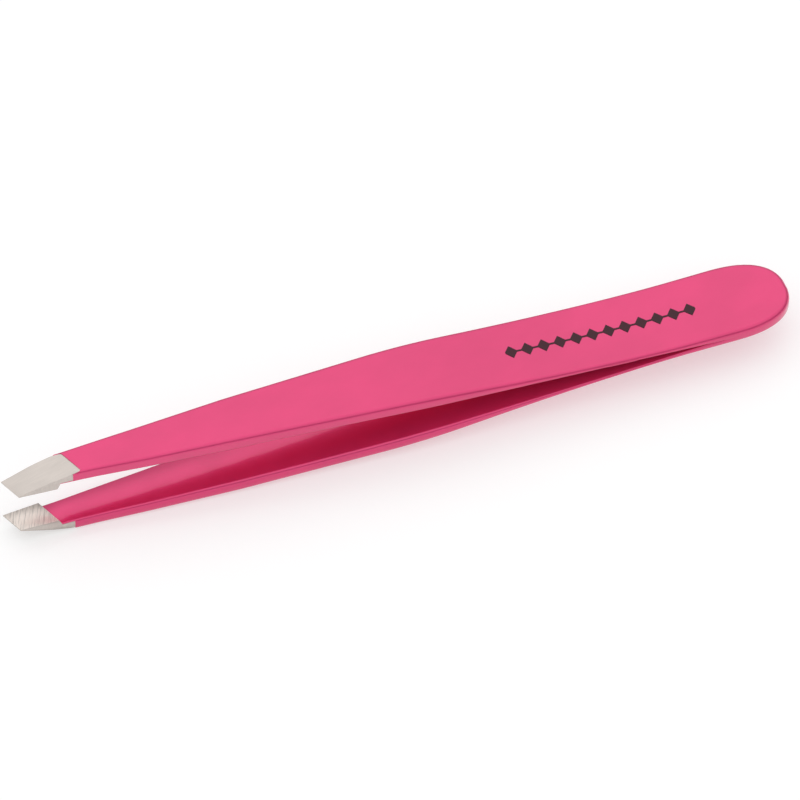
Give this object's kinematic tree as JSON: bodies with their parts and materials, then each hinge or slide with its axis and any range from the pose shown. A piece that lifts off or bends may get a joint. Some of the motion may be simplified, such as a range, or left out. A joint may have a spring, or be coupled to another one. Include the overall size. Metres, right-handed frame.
{
  "type": "slant tip tweezers",
  "caption": "Slant-tip tweezers: sprung steel arms joined at a rounded heel, bare ground tips with raised gripping pads, pink enamelled body.",
  "frame": {"origin": "centre of the bounding box in plan, at the level of the lowest point of the lower arm", "axes": "+X from the tips to the heel, +Y across the arms towards the longer corner of the slanted tips, +Z from the lower arm to the upper arm"},
  "size_m": [0.095, 0.0102, 0.0098],
  "materials": {
    "ground_steel": "satin, ground across the tips",
    "pink_enamel": "glossy baked enamel",
    "weld_steel": "dull, inside the joint",
    "printed_ink": "flat print"
  },
  "bodies": {
    "heel": {"heel_steel_upper": "ground_steel", "heel_steel_lower": "ground_steel", "heel_enamel": "pink_enamel", "weld_nugget_front": "weld_steel", "weld_nugget_rear": "weld_steel", "printed_band_rear": "printed_ink"},
    "upper_arm": {"upper_arm_steel": "ground_steel", "upper_arm_enamel": "pink_enamel", "printed_band_front": "printed_ink"},
    "lower_arm": {"lower_arm_steel": "ground_steel", "lower_arm_enamel": "pink_enamel"}
  },
  "joints": [
    {"name": "upper_arm_spring", "type": "hinge", "parent": "heel", "child": "upper_arm", "pos_m": [0.0245, 0, 0.00594], "axis": [0, -1, 0], "range_deg": [0, 2.25], "stiffness_Nm_per_rad": 3.5},
    {"name": "lower_arm_spring", "type": "hinge", "parent": "heel", "child": "lower_arm", "pos_m": [0.0245, 0, 0.00386], "axis": [0, 1, 0], "range_deg": [0, 2.25], "stiffness_Nm_per_rad": 3.5}
  ],
  "couplings": [
    {"joint": "lower_arm_spring", "follows": "upper_arm_spring", "ratio": 1}
  ]
}
